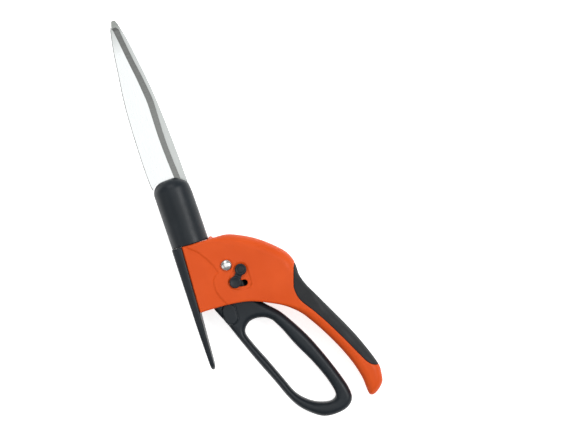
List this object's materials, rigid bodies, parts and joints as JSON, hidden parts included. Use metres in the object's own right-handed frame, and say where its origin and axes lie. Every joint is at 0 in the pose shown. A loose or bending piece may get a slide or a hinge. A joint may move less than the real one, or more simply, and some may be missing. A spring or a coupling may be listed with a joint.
{
  "type": "grass shears",
  "caption": "One-handed grass shears with a swivelling head, long steel blades, a closed finger loop, a soft top grip, a lock lever and a skid plate.",
  "frame": {"origin": "middle of the lowest plane of the bounding box: the plane that the tool's right side lies on", "axes": "+X from the blade tips back to the handles, +Y from the finger loop up to the palm grip, +Z to the tool's left side, which is up as it lies"},
  "size_m": [0.339, 0.1304, 0.0322],
  "materials": {
    "orange_plastic": "moulded, satin with a fine grain",
    "black_plastic": "moulded, satin",
    "grip_rubber": "soft, matt",
    "blade_steel": "ground and polished",
    "chrome": "polished",
    "zinc_steel": "zinc plated",
    "pale_acetal": "smooth"
  },
  "bodies": {
    "housing": {"housing_left": "orange_plastic", "housing_right": "orange_plastic", "grip_insert": "grip_rubber", "skid_plate": "black_plastic", "skid_screw_front": "zinc_steel", "skid_screw_rear": "zinc_steel", "housing_screw_1": "zinc_steel", "housing_screw_2": "zinc_steel", "housing_screw_3": "zinc_steel", "housing_screw_4": "zinc_steel", "housing_screw_5": "zinc_steel", "pivot_rivet": "chrome", "pivot_nut": "zinc_steel", "detent_ball": "chrome", "detent_spring": "zinc_steel", "swivel_washer": "pale_acetal", "return_spring": "zinc_steel"},
    "lower_handle": {"lower_handle": "black_plastic", "lever_arm": "zinc_steel", "arm_rivet_1": "zinc_steel", "arm_rivet_2": "zinc_steel", "pivot_bushing": "pale_acetal"},
    "push_rod": {"push_rod": "zinc_steel", "rod_pin": "zinc_steel"},
    "head": {"collar_sleeve": "black_plastic", "hub_left": "pale_acetal", "hub_right": "pale_acetal", "fixed_blade": "blade_steel", "blade_bolt": "zinc_steel", "blade_nut": "zinc_steel", "blade_washer": "zinc_steel", "tang_screw_front": "zinc_steel", "tang_screw_rear": "zinc_steel", "sleeve_screw": "zinc_steel"},
    "drive_yoke": {"drive_yoke": "pale_acetal", "yoke_pin": "zinc_steel"},
    "moving_blade": {"moving_blade": "blade_steel"},
    "lock": {"lock_lever": "black_plastic", "lock_catch": "black_plastic", "lock_screw": "zinc_steel"}
  },
  "joints": [
    {"name": "handle_squeeze", "type": "hinge", "parent": "housing", "child": "lower_handle", "pos_m": [0.03573, -0.02503, 0.0147], "axis": [0, 0, 1], "range_deg": [-18, 0], "deforming": ["return_spring"]},
    {"name": "rod_travel", "type": "slide", "parent": "housing", "child": "push_rod", "axis": [1, 0, 0], "range_m": [-0.00704, 0]},
    {"name": "head_swivel", "type": "hinge", "parent": "housing", "child": "head", "pos_m": [0.01153, -0.04723, 0.0147], "axis": [1, 0, 0], "range_deg": [0, 180]},
    {"name": "yoke_travel", "type": "slide", "parent": "head", "child": "drive_yoke", "axis": [1, 0, 0], "range_m": [-0.00704, 0]},
    {"name": "blade_swing", "type": "hinge", "parent": "head", "child": "moving_blade", "pos_m": [-0.02447, -0.04323, 0.0147], "axis": [0, 0, 1], "range_deg": [-35.5, 0]},
    {"name": "lock_swing", "type": "hinge", "parent": "housing", "child": "lock", "pos_m": [0.04193, -0.01543, 0.0147], "axis": [0, 0, 1], "range_deg": [0, 39]}
  ],
  "couplings": [
    {"joint": "rod_travel", "follows": "handle_squeeze", "m_per_rad": 0.022384},
    {"joint": "yoke_travel", "follows": "handle_squeeze", "m_per_rad": 0.022384},
    {"joint": "blade_swing", "follows": "handle_squeeze", "ratio": 1.9696}
  ]
}
